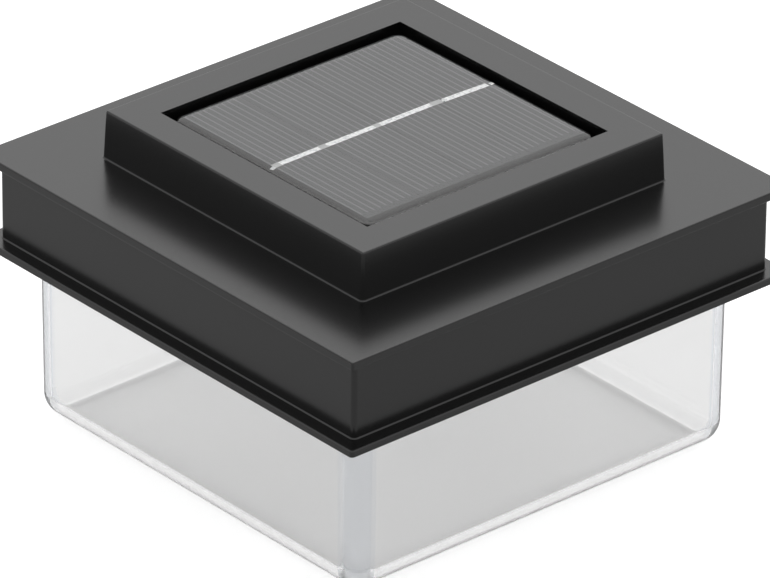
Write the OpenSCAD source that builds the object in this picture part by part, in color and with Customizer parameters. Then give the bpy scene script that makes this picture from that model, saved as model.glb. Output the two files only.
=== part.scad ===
// Solar ground light: a square black cap with a solar panel, standing on a clear square cup.
// The cap lifts off the cup. The origin is the centre of the cup's resting face, +Z is up.

/* [Cup] */
// Outside width of the clear cup at its mouth
cup_w = 101.2; // [97:0.2:104]
// How much each side leans in between the mouth and the foot
cup_draft = 0.25; // [0.05:0.05:0.6]
// Height of the cup from its resting face to its rim
cup_h = 38.5; // [30:0.5:60]
// Thickness of the cup's walls
cup_wall = 2; // [1.4:0.1:2.4]
// Thickness of the cup's floor
cup_floor = 2; // [1.4:0.1:3]
// Radius of the cup's bottom edge and of its upright corners at the foot
cup_r = 5.2; // [3.6:0.1:6]

/* [Top cover] */
// Outside width across the cover's upright walls
wall_w = 109.8; // [107:0.2:116]
// Height of the walls between the base plate and the deck
wall_h = 17.4; // [15:0.2:24]
// Radius of the upright corners of the walls
wall_r = 1; // [0.4:0.1:3]
// Thickness of the cover's walls and bezel
shell = 2.2; // [1.8:0.1:2.6]
// How far the deck's lip stands out past the walls
lip_out = 2.9; // [1.5:0.1:5]
// Thickness of the deck
deck_t = 1.9; // [1.5:0.1:3]
// Width of the raised platform at its foot
platform_w = 80.5; // [76:0.1:88]
// How much each side of the platform leans in on its way up
platform_draft = 0.55; // [0.2:0.05:1]
// Height of the platform above the deck
platform_h = 10.5; // [8:0.5:16]
// Radius of the platform's top edge
platform_edge_r = 0.4; // [0.2:0.1:1.2]
// Radius of the fillet where the platform meets the deck
platform_foot_r = 0.4; // [0.2:0.1:1]
// Thickness of the tub that holds the solar panel
tub_t = 1.8; // [1.2:0.1:2]

/* [Solar panel] */
// Width of the square panel
panel_w = 60.4; // [52:0.2:62]
// Thickness of the panel, from its back board to the top of the resin
panel_t = 2.6; // [2.2:0.1:3.4]
// Radius of the panel's upright corners
panel_r = 2.5; // [1.5:0.1:4]
// Gap between the panel and the edge of its opening
panel_gap = 1.6; // [0.5:0.1:2]
// Depth of the panel's face below the bezel
panel_sink = 1.05; // [0.4:0.05:2]
// Width of the rolled edge of the resin
roll_w = 1.4; // [0.5:0.1:1.4]
// Drop of the rolled edge of the resin
roll_h = 0.3; // [0.1:0.05:0.5]
// Thickness of the back board
back_t = 1.6; // [0.8:0.1:1.7]
// Number of cells joined in series
cell_count = 4; // [2:1:6]
// Bare border round the cells
cell_border = 1.4; // [0.8:0.1:3]
// How far the row of cells lies off the panel's middle along X
row_x = -1.6; // [-2:0.1:2]
// How far it lies off the middle along Y
row_y = 1; // [-1:0.1:1]
// Gap between two cells
cell_gap = 0.2; // [0.1:0.05:0.5]
// Thickness of a cell
cell_t = 0.25; // [0.15:0.05:0.4]
// Width of the tinned ribbon that joins the cells
ribbon_w = 1.4; // [0.8:0.1:2]
// Thickness of the ribbon
ribbon_t = 0.12; // [0.08:0.02:0.2]
// Length of the narrow link between two ribbons
link_len = 1.4; // [0.8:0.1:3]
// Thickness of the adhesive sheet under the panel
glue_t = 0.4; // [0.2:0.1:0.8]

/* [Base plate] */
// How far the flange stands out past the cover's walls
flange_out = 3.3; // [2:0.1:6]
// Thickness of the base plate
plate_t = 1.5; // [1.3:0.1:2.6]
// Radius of the flange's upper edge
flange_edge_r = 0.5; // [0.2:0.1:1]
// Size of the small bead round the foot of the walls
bead = 0.25; // [0.15:0.05:0.6]
// Depth of the collar that goes down into the cup's mouth
collar_h = 4.5; // [3:0.1:5.2]
// Thickness of the collar
collar_t = 1.8; // [1.2:0.1:2]
// Gap between the collar and the cup all round
cup_fit = 0.3; // [0.2:0.05:0.5]
// Height of the rim that stands up inside the cover's walls
upstand_h = 5; // [3:0.5:6]
// Thickness of that rim
upstand_t = 1.6; // [1:0.1:2.2]
// Width of the cover seal's section
seal_w = 1.1; // [0.8:0.1:1.2]
// Height of the cover seal's section
seal_h = 1.4; // [1:0.1:2]

/* [Battery] */
// Diameter of the rechargeable cell
battery_d = 14.5; // [14:0.1:14.6]
// Length of the rechargeable cell with its button
battery_len = 50.5; // [48:0.5:51]
// Distance of the battery from the middle of the light
battery_y = 26; // [25:0.5:27]
// Gap between the battery and the walls of its bay
bay_gap = 0.4; // [0.3:0.1:0.8]
// Thickness of the bay's walls
bay_t = 1.6; // [1.2:0.1:2]
// Length of the spring when the battery is in
spring_len = 5.1; // [4.8:0.1:6]
// Diameter of the spring's wire
spring_wire = 0.8; // [0.6:0.1:0.9]
// Number of turns of the spring
spring_turns = 4; // [3:1:4]
// Thickness of the contact plates
contact_t = 0.4; // [0.3:0.1:0.5]
// Thickness of the battery door
door_t = 2; // [1.6:0.1:2.4]
// Thickness of the door's seal
door_seal_t = 0.8; // [0.5:0.1:1]

/* [Electronics] */
// Length of the circuit board
board_len = 50; // [48:1:54]
// Width of the circuit board
board_w = 22; // [21:0.5:24]
// Thickness of the circuit board
board_t = 1.6; // [1:0.1:2]
// Diameter of the lamp
led_d = 5; // [4.5:0.1:5.4]
// Diameter of the reflector round the lamp
reflector_d = 25; // [20:0.5:27]
// Depth of the reflector below the base plate
reflector_h = 4.2; // [3.5:0.1:5]
// Height of the switch's metal can
switch_h = 4.7; // [4.4:0.1:5.4]
// Travel of the switch's knob
switch_travel = 2; // [1.5:0.1:2.4]
// Diameter of the wires over their insulation
wire_d = 1.3; // [1:0.1:1.6]

/* [Screws] */
// Diameter of the cover screws' shanks
cover_screw_d = 2.8; // [2.4:0.1:3]
// Diameter of the door screws' shanks
door_screw_d = 2.5; // [2.2:0.1:2.6]
// Diameter of the board screws' shanks
board_screw_d = 2.2; // [2:0.1:2.4]
// Gap round a shank in the hole that it cuts its thread in
thread_gap = 0.1; // [0.02:0.02:0.1]
// Gap round a shank in the hole that it passes through
pass_gap = 0.2; // [0.12:0.02:0.3]

/* [Hidden] */
$fn = 48;

// Past a face that a cut runs through
past = 1;
// Steps in a rounded edge's outline
edge_steps = 6;

// Heights, from the resting face up
z_plate = cup_h;
z_seat = z_plate + plate_t;
z_deck = z_seat + wall_h;
z_top = z_deck + deck_t;
z_bezel = z_top + platform_h;
z_face = z_bezel - panel_sink;
z_back = z_face - panel_t;
z_tub = z_back - glue_t;
z_cells = z_back + back_t;
z_ribbon = z_cells + cell_t;

// Cup: the square of its corner centres, and its radii about them
cup_core = cup_w / 2 - cup_draft - cup_r;
mouth_r = cup_r + cup_draft;

// Collar, in the cup's mouth
collar_r = mouth_r - cup_wall - cup_fit;
collar_in = cup_core + collar_r - collar_t;
collar_lead = 0.5;

// Cover's inside, its seal's rebate and the base plate's rim within it
cover_in = wall_w / 2 - shell;
upstand_gap = 0.2;
upstand_out = cover_in - upstand_gap;
rebate_out = cover_in + seal_w;
deck_out = wall_w / 2 + lip_out;
deck_r = 0.5;
deck_edge_r = 0.3;
flange_half = wall_w / 2 + flange_out;
flange_r = 0.8;

// Platform: the square of its corner centres, and its radius at the foot
platform_core = platform_w / 2 - platform_draft - platform_edge_r;
platform_foot = platform_draft + platform_edge_r;
platform_in = platform_w / 2 - platform_draft - shell;
tub_in = panel_w / 2 + panel_gap;
tub_out = tub_in + tub_t;
wire_hole_r = 4;
glue_hole_back = 1;

// Cover screws, inside the collar
boss_r = 3.5;
boss_clear = 1.4;
boss_at = collar_in - boss_r - boss_clear;
boss_pilot = 11;
cover_head_r = 2.8;
cover_head_h = 2;
cover_screw_bite = 9;
rib_t = 1.2;
rib_h = 5;
rib_pitch = 20;
gusset_h = 8;

// Cells of the panel
cells_w = panel_w - 2 * cell_border;
cell_pitch = (cells_w + cell_gap) / cell_count;
cell_len = cell_pitch - cell_gap;
cell_rim = 0.35;
link_w = ribbon_w / 2;
tab_len = 0.6;
tab_w = 1.2;

// Battery bay, along X, with the spring at its low end
bay_half = battery_d / 2 + bay_gap;
dimple_h = 0.6;
bay_len = battery_len + spring_len + dimple_h + 2 * contact_t;
bay_lo = -bay_len / 2;
bay_hi = bay_len / 2;
battery_lo = bay_lo + contact_t + spring_len;
battery_hi = battery_lo + battery_len;
button_len = 1;
button_r = 2.6;
sleeve_t = 0.15;
z_door = z_plate - door_seal_t;
cradle_h = 0.5;
cradle_gap = 0.2;
z_battery = z_door + cradle_h + cradle_gap + battery_d / 2;
z_bay = z_battery + bay_half;
bay_top = z_bay + bay_t;
contact_half = 5.5;
tab_half = 1.5;
tab_h = 2.6;
slot_gap = 0.2;
contact_lift = 0.4;
z_contact = z_seat + contact_lift;

// Battery door, with its screws past the ends of the bay
door_boss_r = 3.2;
door_boss_h = 8;
door_boss_gap = 0.4;
door_past_screw = 4.5;
door_past_bay = 2.25;
door_screw_x = bay_hi + bay_t + door_boss_r + door_boss_gap;
door_half_x = door_screw_x + door_past_screw;
door_half_y = bay_half + bay_t + door_past_bay;
door_r = 3;
door_head_r = 2.4;
door_head_h = 1.6;
door_bite = 6;
tongue_t = 1.2;
tongue_gap = 0.3;
tongue_h = 1.8;
tongue_short = 4;
tongue_len = battery_len - tongue_short;
seal_past_bay = 2.9;
seal_out_x = bay_hi + seal_past_bay;
seal_out_y = bay_half + seal_past_bay;
seal_band = 1.5;

// Circuit board over the plate, on two posts, with the lamp on the light's axis
can_clear = 0.1;
z_board = z_seat + can_clear + switch_h;
board_top = z_board + board_t;
board_hi_x = 14;
board_hi_y = 9;
board_lo_x = board_hi_x - board_len;
board_r = 1;
board_mid = [board_hi_x - board_len / 2, board_hi_y - board_w / 2];
posts = [[9, -8.5], [-20, 4.5]];
post_r = 2.7;
board_bite = 3.6;
board_screw_short = 0.4;
board_head_r = 2.2;
board_head_h = 1.5;
led_rim_out = 0.4;
led_rim_r = led_d / 2 + led_rim_out;
led_rim_h = 1;
led_len = 8.6;
led_gap = 0.1;
lead = 0.5;
lead_x = 1.27;
lead_hole_r = 0.5;
lead_past = 1;
reflector_t = 0.8;
reflector_clear = 0.7;
reflector_eye = led_d / 2 + reflector_clear;
reflector_rim = 2;
peg_y = 6.5;
peg_r = 1;
peg_past = 0.8;

// Slide switch on the board's underside, near its low end
switch_in = 7;
switch_y = -2;
switch_at = [board_lo_x + switch_in, switch_y];
can_len = 8.6;
can_w = 4.4;
can_t = 0.5;
knob_len = 2;
knob_w = 1.5;
foot_len = 3;
foot_w = 2.4;
foot_h = 1.2;
knob_gap = 0.2;
knob_reach = 1.4;
knob_y = switch_y - switch_travel / 2;
slot_side = 0.5;
slot_end = 0.7;
slot_half_x = knob_w / 2 + slot_side;
slot_half_y = (knob_len + switch_travel) / 2 + slot_end;

// Parts on top of the board
chip_at = [-8, 4];
chip = [4.2, 2.6, 3.4];
chip_lift = 2;
chip_lead = 0.45;
chip_pitch = 1.27;
coil_at = [-8, -8];
coil_r = 1.6;
coil_waist_r = 1.35;
coil_cap = 2;
coil_len = 7.5;
coil_reach = 6;
coil_lead_r = 0.35;
coil_lift = 0.3;

// Wires: where each starts and ends, and how hard it leaves and arrives
wire_sides = 8;
wire_rings = 20;
panel_lead_x = 2;
panel_pad_in = 4.5;
panel_pad_y = [2, -2.5];
panel_pads = [for (y = panel_pad_y) [board_hi_x - panel_pad_in, y]];
battery_pad_in = [3, 3.5];
battery_pad_y = [4, 6];
battery_pads = [
    [board_lo_x + battery_pad_in[0], battery_pad_y[0]],
    [board_hi_x - battery_pad_in[1], battery_pad_y[1]]];
wire_up = 1.7;
wire_z = bay_top + wire_up;
panel_wire_drop = 8;
battery_wire_over = 14;
battery_wire_drop = 9;

// Points on an arc or a quarter of an ellipse about [x, z], from angle a to angle b
function arc(x, z, rx, rz, a, b, steps = edge_steps) =
    [for (i = [0:steps])
        let (t = a + (b - a) * i / steps)
        [x + rx * cos(t), z + rz * sin(t)]];

// A square form with round upright corners: core is half the square of its corner centres, and
// side is its outline from the bottom up, as [distance out from core, height]
module soft_square(core, side) {
    last = len(side) - 1;
    foot = side[0][0] > 0 ? [[0, side[0][1]]] : [];
    head = side[last][0] > 0 ? [[0, side[last][1]]] : [];
    right = [for (p = side) [core + p[0], p[1]]];
    left = [for (i = [last:-1:0]) [-core - side[i][0], side[i][1]]];
    for (x = [-core, core], y = [-core, core])
        translate([x, y, 0])
            rotate_extrude() polygon(concat(foot, side, head));
    for (turn = [0, 90])
        rotate([90, 0, turn])
            linear_extrude(2 * core, center = true) polygon(concat(right, left));
}

// A centred square block between two heights
module block(half, low, high) {
    translate([-half, -half, low]) cube([2 * half, 2 * half, high - low]);
}

// A centred square frame between two heights
module square_ring(outer, inner, low, high) {
    difference() {
        block(outer, low, high);
        block(inner, low - past, high + past);
    }
}

// A centred rectangle with round corners
module rounded(half_x, half_y, r) {
    square([2 * half_x - 2 * r, 2 * half_y], center = true);
    square([2 * half_x, 2 * half_y - 2 * r], center = true);
    for (x = [-1, 1], y = [-1, 1])
        translate([x * (half_x - r), y * (half_y - r)]) circle(r);
}

// A copy at each of the four points at equal distances from the middle
module at_corners(distance) {
    for (x = [-distance, distance], y = [-distance, distance])
        translate([x, y, 0]) children();
}

// A pan-head screw pointing up, with the underside of its head at the origin
module pan_screw(shank_r, head_r, head_h, length) {
    crown = 0.7;
    tip = 1.2;
    point_r = 0.5;
    cross_t = 0.7;
    cross_depth = 0.8;
    cross_half = head_r - 1;
    difference() {
        union() {
            translate([0, 0, -head_h]) cylinder(r1 = head_r - crown / 2, r2 = head_r, h = crown);
            translate([0, 0, crown - head_h]) cylinder(r = head_r, h = head_h - crown);
            cylinder(r = shank_r, h = length - tip);
            translate([0, 0, length - tip]) cylinder(r1 = shank_r, r2 = point_r, h = tip);
        }
        for (turn = [0, 90])
            rotate([0, 0, turn])
                translate([-cross_half, -cross_t / 2, -head_h - past])
                    cube([2 * cross_half, cross_t, cross_depth + past]);
    }
}

// Unit vector along v
function unit(v) = v / norm(v);

// Ring of points of radius r about each point of a path, square to the path
function rings(path, r, sides) =
    let (last = len(path) - 1)
    [for (i = [0:last])
        let (along = unit(path[min(i + 1, last)] - path[max(i - 1, 0)]))
        let (out = unit(cross(along, [1, 0, 0])))
        let (up = cross(along, out))
        for (k = [0:sides - 1])
            let (t = 360 * k / sides)
            path[i] + r * (cos(t) * out + sin(t) * up)];

// A round wire of radius r along a path
module tube(path, r, sides) {
    count = len(path);
    walls = [for (i = [0:count - 2], k = [0:sides - 1])
        let (a = i * sides + k)
        let (b = i * sides + (k + 1) % sides)
        each [[a, b, b + sides], [a, b + sides, a + sides]]];
    first = [for (k = [sides - 1:-1:0]) k];
    end = [for (k = [0:sides - 1]) (count - 1) * sides + k];
    polyhedron(rings(path, r, sides), concat(walls, [first, end]));
}

// Point at t on the curve that leaves a towards b and comes to d from c
function curve(a, b, c, d, t) =
    pow(1 - t, 3) * a + 3 * pow(1 - t, 2) * t * b + 3 * (1 - t) * t * t * c + pow(t, 3) * d;

// An insulated wire: it starts straight by leave, and ends straight by arrive
module wire(start, leave, finish, arrive) {
    inner = [for (i = [0:wire_rings])
        curve(start + leave * 0.1, start + leave, finish - arrive, finish - arrive * 0.1, i / wire_rings)];
    tube(concat([start], inner, [finish]), wire_d / 2, wire_sides);
}

// Clear moulded cup: drafted walls, a flat floor and ball corners
module clear_cup() {
    rise = cup_floor + cup_r - cup_wall;
    color([0.88, 0.9, 0.9, 0.4])
        difference() {
            soft_square(cup_core, concat(
                arc(0, cup_r, cup_r, cup_r, -90, 0),
                [[mouth_r, cup_h]]));
            soft_square(cup_core, concat(
                arc(0, rise, cup_r - cup_wall, cup_r - cup_wall, -90, 0),
                [[mouth_r - cup_wall, cup_h + past]]));
        }
}

// Outside of the top cover: walls, overhanging deck and drafted platform
module cover_outside() {
    soft_square(wall_w / 2 - wall_r, [[wall_r, z_seat], [wall_r, z_deck + deck_t / 2]]);
    soft_square(deck_out - deck_r, concat(
        [[deck_r - deck_edge_r, z_deck]],
        arc(deck_r - deck_edge_r, z_deck + deck_edge_r, deck_edge_r, deck_edge_r, -90, 0, 3),
        arc(deck_r - deck_edge_r, z_top - deck_edge_r, deck_edge_r, deck_edge_r, 0, 90, 3)));
    soft_square(platform_core, concat(
        [[platform_foot + platform_foot_r, z_deck + deck_t / 2]],
        arc(platform_foot + platform_foot_r, z_top + platform_foot_r,
            platform_foot_r, platform_foot_r, 270, 180, 4),
        arc(0, z_bezel - platform_edge_r, platform_edge_r, platform_edge_r, 0, 90)));
}

// Space inside the top cover, with the rebate for its seal at the foot
module cover_inside() {
    block(rebate_out, z_seat - past, z_seat + seal_h);
    block(cover_in, z_seat - past, z_deck);
    block(platform_in, z_deck - past, z_bezel - shell);
}

// Screw bosses of the top cover, each tied to the walls by two gussets
module cover_bosses() {
    for (turn = [0:90:270])
        rotate([0, 0, turn]) {
            translate([boss_at, boss_at, z_seat]) cylinder(r = boss_r, h = z_deck - z_seat + deck_t / 2);
            translate([boss_at, boss_at - rib_t / 2, z_deck - gusset_h])
                cube([cover_in + past - boss_at, rib_t, gusset_h + past]);
            translate([boss_at - rib_t / 2, boss_at, z_deck - gusset_h])
                cube([rib_t, cover_in + past - boss_at, gusset_h + past]);
        }
}

// Stiffening ribs under the deck, from the walls to the platform
module deck_ribs() {
    for (turn = [0:90:270], step = [-1:1])
        rotate([0, 0, turn])
            translate([platform_in, step * rib_pitch - rib_t / 2, z_deck - rib_h])
                cube([cover_in + past - platform_in, rib_t, rib_h + past]);
}

// Black moulded top cover with its sunk tub for the solar panel
module top_cover() {
    color([0.09, 0.09, 0.1])
        difference() {
            union() {
                difference() {
                    cover_outside();
                    cover_inside();
                }
                block(tub_out, z_tub - tub_t, z_bezel - shell / 2);
                cover_bosses();
                deck_ribs();
            }
            block(tub_in, z_tub, z_bezel + past);
            translate([0, 0, z_tub - tub_t - past]) cylinder(r = wire_hole_r, h = tub_t + 2 * past);
            at_corners(boss_at)
                translate([0, 0, z_seat - past])
                    cylinder(r = cover_screw_d / 2 + thread_gap, h = boss_pilot + past);
        }
}

// Plate with its flange, the bead round the cover's walls and the rim inside them
module plate_body() {
    soft_square(flange_half - flange_r, concat(
        [[flange_r, z_plate]],
        arc(flange_r - flange_edge_r, z_seat - flange_edge_r, flange_edge_r, flange_edge_r, 0, 90)));
    difference() {
        soft_square(wall_w / 2 - wall_r, [
            [wall_r + bead, z_seat - plate_t / 2],
            [wall_r + bead, z_seat],
            [wall_r, z_seat + bead]]);
        soft_square(wall_w / 2 - wall_r, [
            [wall_r, z_seat],
            [wall_r, z_seat + bead + past]]);
    }
    square_ring(upstand_out, upstand_out - upstand_t, z_seat - plate_t / 2, z_seat + upstand_h);
}

// Collar under the plate, with a lead-in round its lower edge
module collar() {
    low = z_plate - collar_h;
    difference() {
        soft_square(cup_core, [
            [collar_r - collar_lead, low],
            [collar_r, low + 2 * collar_lead],
            [collar_r, z_plate + plate_t / 2]]);
        block(collar_in, low - past, z_plate);
    }
}

// Walls of the battery bay and the bosses that the door screws on to
module bay_walls() {
    translate([bay_lo - bay_t, battery_y - bay_half - bay_t, z_seat - plate_t / 2])
        cube([bay_len + 2 * bay_t, 2 * (bay_half + bay_t), bay_top - z_seat + plate_t / 2]);
    for (x = [-door_screw_x, door_screw_x])
        translate([x, battery_y, z_seat - plate_t / 2])
            cylinder(r = door_boss_r, h = door_boss_h + plate_t / 2);
}

// Space of the battery bay, open below, with a slot over each contact plate
module bay_space() {
    translate([bay_lo, battery_y - bay_half, z_plate - past])
        cube([bay_len, 2 * bay_half, z_bay - z_plate + past]);
    for (x = [bay_lo, bay_hi - contact_t - slot_gap])
        translate([x, battery_y - tab_half - slot_gap, z_bay - past])
            cube([contact_t + slot_gap, 2 * (tab_half + slot_gap), bay_t + 2 * past]);
    for (x = [-door_screw_x, door_screw_x])
        translate([x, battery_y, z_plate - past])
            cylinder(r = door_screw_d / 2 + thread_gap, h = plate_t + door_boss_h - past);
}

// Black moulded base plate: it closes the cover and plugs into the cup
module base_plate() {
    color([0.1, 0.1, 0.11])
        difference() {
            union() {
                plate_body();
                collar();
                bay_walls();
                for (p = posts)
                    translate([p[0], p[1], z_seat - plate_t / 2])
                        cylinder(r = post_r, h = z_board - z_seat + plate_t / 2);
            }
            bay_space();
            at_corners(boss_at)
                translate([0, 0, z_plate - past])
                    cylinder(r = cover_screw_d / 2 + pass_gap, h = plate_t + 2 * past);
            for (p = posts)
                translate([p[0], p[1], z_board - board_bite])
                    cylinder(r = board_screw_d / 2 + thread_gap, h = board_bite + past);
            translate([0, 0, z_plate - past]) cylinder(r = led_d / 2 + led_gap, h = plate_t + 2 * past);
            for (y = [-peg_y, peg_y])
                translate([0, y, z_plate - past]) cylinder(r = peg_r + led_gap, h = plate_t + 2 * past);
            translate([switch_at[0] - slot_half_x, switch_at[1] - slot_half_y, z_plate - past])
                cube([2 * slot_half_x, 2 * slot_half_y, plate_t + 2 * past]);
        }
}

// Rubber seal in the rebate at the foot of the cover's walls
module cover_seal() {
    color([0.2, 0.2, 0.2])
        square_ring(rebate_out, upstand_out, z_seat, z_seat + seal_h);
}

// Four screws up through the base plate into the cover's bosses
module cover_screws() {
    color([0.6, 0.6, 0.62])
        at_corners(boss_at)
            translate([0, 0, z_plate])
                pan_screw(cover_screw_d / 2, cover_head_r, cover_head_h, plate_t + cover_screw_bite);
}

// Sheet of adhesive between the tub and the panel, with a hole for the wires
module panel_adhesive() {
    color([0.85, 0.85, 0.8])
        translate([0, 0, z_tub])
            linear_extrude(glue_t)
                difference() {
                    rounded(panel_w / 2 - panel_r, panel_w / 2 - panel_r, panel_r);
                    circle(wire_hole_r + glue_hole_back);
                }
}

// Back board of the solar panel
module panel_board() {
    color([0.16, 0.17, 0.16])
        translate([0, 0, z_back])
            linear_extrude(back_t) rounded(panel_w / 2, panel_w / 2, panel_r);
}

// The cells' outlines in a row along Y, between two heights, trimmed where they'd leave the panel
module cell_row(low, high) {
    half = panel_w / 2 - cell_rim;
    translate([0, 0, low])
        linear_extrude(high - low)
            intersection() {
                rounded(half, half, panel_r - cell_rim);
                for (i = [0:cell_count - 1])
                    translate([row_x - cells_w / 2, row_y - cells_w / 2 + i * cell_pitch])
                        square([cells_w, cell_len]);
            }
}

// One stretch of ribbon along Y, between two heights
module ribbon_piece(width, from_y, length, low, high) {
    translate([row_x - width / 2, row_y + from_y, low])
        cube([width, length, high - low]);
}

// Ribbons over the cells, a narrow link at each joint and a tab at each end, between two heights
module ribbon_row(low, high) {
    run = cell_pitch - link_len;
    start = (cell_pitch - cell_gap - run - cells_w) / 2;
    for (i = [0:cell_count - 1]) {
        ribbon_piece(ribbon_w, start + i * cell_pitch, run, low, high);
        if (i < cell_count - 1)
            ribbon_piece(link_w, start + i * cell_pitch + run, link_len, low, high);
    }
    ribbon_piece(tab_w, start - tab_len, tab_len, low, high);
    ribbon_piece(tab_w, start + (cell_count - 1) * cell_pitch + run, tab_len, low, high);
}

// Silicon cells in a row along Y
module solar_cells() {
    color([0.3, 0.31, 0.33]) cell_row(z_cells, z_ribbon);
}

// Tinned ribbons that join the cells in series
module busbar_ribbons() {
    color([0.88, 0.89, 0.9]) ribbon_row(z_ribbon, z_ribbon + ribbon_t);
}

// Clear resin cast over the cells, with a rolled edge all round
module panel_resin() {
    color([0.45, 0.47, 0.5, 0.5])
        difference() {
            soft_square(panel_w / 2 - panel_r, concat(
                [[panel_r, z_cells]],
                arc(panel_r - roll_w, z_face - roll_h, roll_w, roll_h, 0, 90)));
            cell_row(z_cells - past, z_ribbon);
            ribbon_row(z_ribbon - cell_t / 2, z_ribbon + ribbon_t);
        }
}

// Circuit board with its screw holes and the lamp's lead holes
module circuit_board() {
    color([0.15, 0.4, 0.2])
        translate([0, 0, z_board])
            linear_extrude(board_t)
                difference() {
                    translate(board_mid) rounded(board_len / 2, board_w / 2, board_r);
                    for (p = posts)
                        translate(p) circle(board_screw_d / 2 + pass_gap);
                    for (x = [-lead_x, lead_x])
                        translate([x, 0]) circle(lead_hole_r);
                }
}

// Two screws down through the board into the posts
module board_screws() {
    color([0.65, 0.65, 0.66])
        for (p = posts)
            translate([p[0], p[1], board_top])
                mirror([0, 0, 1])
                    pan_screw(board_screw_d / 2, board_head_r, board_head_h,
                        board_t + board_bite - board_screw_short);
}

// Driver chip that steps the battery's voltage up for the lamp, on its four legs
module driver_chip() {
    color([0.07, 0.07, 0.07]) {
        translate([chip_at[0] - chip[0] / 2, chip_at[1] - chip[1] / 2, board_top + chip_lift])
            cube(chip);
        for (i = [-1.5:1:1.5])
            translate([chip_at[0] + i * chip_pitch, chip_at[1], board_top])
                linear_extrude(chip_lift + past) square(chip_lead, center = true);
    }
}

// Axial coil of the driver, lying on its two bent leads
module inductor() {
    z = board_top + coil_lift + coil_r;
    color([0.25, 0.5, 0.35])
        translate([coil_at[0], coil_at[1], 0]) {
            translate([0, 0, z]) rotate([0, 90, 0]) cylinder(r = coil_waist_r, h = coil_len, center = true);
            for (side = [-1, 1]) {
                translate([side * (coil_len - coil_cap) / 2, 0, z])
                    rotate([0, 90, 0]) cylinder(r = coil_r, h = coil_cap, center = true);
                translate([side * coil_len / 2, 0, z])
                    rotate([0, 90 * side, 0]) cylinder(r = coil_lead_r, h = coil_reach - coil_len / 2);
                translate([side * coil_reach, 0, z]) sphere(coil_lead_r);
                translate([side * coil_reach, 0, board_top]) cylinder(r = coil_lead_r, h = z - board_top);
            }
        }
}

// Round lamp pointing down into the cup, hung by its two leads
module led() {
    top = z_seat + led_rim_h;
    tip = top - led_len;
    color([0.95, 0.93, 0.8, 0.7]) {
        translate([0, 0, z_seat]) cylinder(r = led_rim_r, h = led_rim_h);
        translate([0, 0, tip + led_d / 2]) cylinder(r = led_d / 2, h = led_len - led_d / 2);
        translate([0, 0, tip + led_d / 2]) sphere(led_d / 2);
        for (x = [-lead_x, lead_x])
            translate([x - lead / 2, -lead / 2, top - led_rim_h / 2])
                cube([lead, lead, board_top + lead_past - top + led_rim_h / 2]);
    }
}

// Metallised reflector round the lamp, staked to the base plate by two pegs
module reflector() {
    rim = reflector_d / 2;
    color([0.8, 0.8, 0.82]) {
        rotate_extrude()
            polygon([
                [reflector_eye, z_plate],
                [reflector_eye + reflector_rim, z_plate],
                [rim, z_plate - reflector_h + reflector_t],
                [rim, z_plate - reflector_h],
                [rim - reflector_t, z_plate - reflector_h],
                [reflector_eye, z_plate - reflector_t]]);
        for (y = [-peg_y, peg_y])
            translate([0, y, z_plate - reflector_h / 2])
                cylinder(r = peg_r, h = reflector_h / 2 + plate_t + peg_past);
    }
}

// Metal can of the slide switch, open where its knob comes out
module switch_can() {
    low = z_board - switch_h;
    run = switch_travel + 2 * knob_gap;
    color([0.75, 0.75, 0.76])
        translate([switch_at[0], switch_at[1], 0])
            difference() {
                translate([-can_w / 2, -can_len / 2, low]) cube([can_w, can_len, switch_h]);
                translate([-foot_w / 2 - knob_gap, -(foot_len + run) / 2, low + can_t])
                    cube([foot_w + 2 * knob_gap, foot_len + run, foot_h + 2 * knob_gap]);
                translate([-knob_w / 2 - knob_gap, -(knob_len + run) / 2, low - past])
                    cube([knob_w + 2 * knob_gap, knob_len + run, can_t + 2 * past]);
            }
}

// Knob of the slide switch, with its foot held inside the can
module switch_knob() {
    low = z_board - switch_h + can_t + knob_gap;
    color([0.12, 0.12, 0.12])
        translate([switch_at[0], knob_y, 0]) {
            translate([-foot_w / 2, -foot_len / 2, low]) cube([foot_w, foot_len, foot_h]);
            translate([-knob_w / 2, -knob_len / 2, z_plate - knob_reach])
                cube([knob_w, knob_len, low + foot_h - z_plate + knob_reach]);
        }
}

// Steel can of the rechargeable cell, with its button
module battery_can() {
    color([0.7, 0.7, 0.7])
        translate([battery_lo, battery_y, z_battery])
            rotate([0, 90, 0]) {
                cylinder(r = battery_d / 2 - sleeve_t, h = battery_len - button_len);
                cylinder(r = button_r, h = battery_len);
            }
}

// Plain shrink sleeve round the cell
module battery_sleeve() {
    lip = 1;
    length = battery_len - button_len;
    color([0.2, 0.5, 0.35])
        translate([battery_lo, battery_y, z_battery])
            rotate([0, 90, 0])
                rotate_extrude()
                    polygon([
                        [battery_d / 2 - sleeve_t, 0],
                        [battery_d / 2, 0],
                        [battery_d / 2, length + sleeve_t],
                        [battery_d / 2 - lip, length + sleeve_t],
                        [battery_d / 2 - lip, length],
                        [battery_d / 2 - sleeve_t, length]]);
}

// Tapered spring that presses on the battery's flat end
module battery_spring() {
    wide = 5.2;
    narrow = 2.7;
    rise = 0.05;
    steps = 12;
    run = spring_len - spring_wire - 2 * rise;
    count = spring_turns * steps;
    path = [for (i = [0:count])
        let (t = i / count)
        let (r = wide + (narrow - wide) * t)
        [spring_wire / 2 + rise + run * t, r * cos(360 * spring_turns * t), r * sin(360 * spring_turns * t)]];
    color([0.78, 0.78, 0.8])
        translate([bay_lo + contact_t, battery_y, z_battery])
            tube(path, spring_wire / 2, wire_sides);
}

// Flat contact against one end of the bay, with a solder tab through the slot above
module contact_sheet(low_x) {
    translate([low_x, battery_y - contact_half, z_contact])
        cube([contact_t, 2 * contact_half, z_bay - z_contact]);
    translate([low_x, battery_y - tab_half, z_bay - past])
        cube([contact_t, 2 * tab_half, bay_t + tab_h + past]);
}

// Plate that carries the spring
module spring_plate() {
    color([0.72, 0.72, 0.74]) contact_sheet(bay_lo);
}

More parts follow.
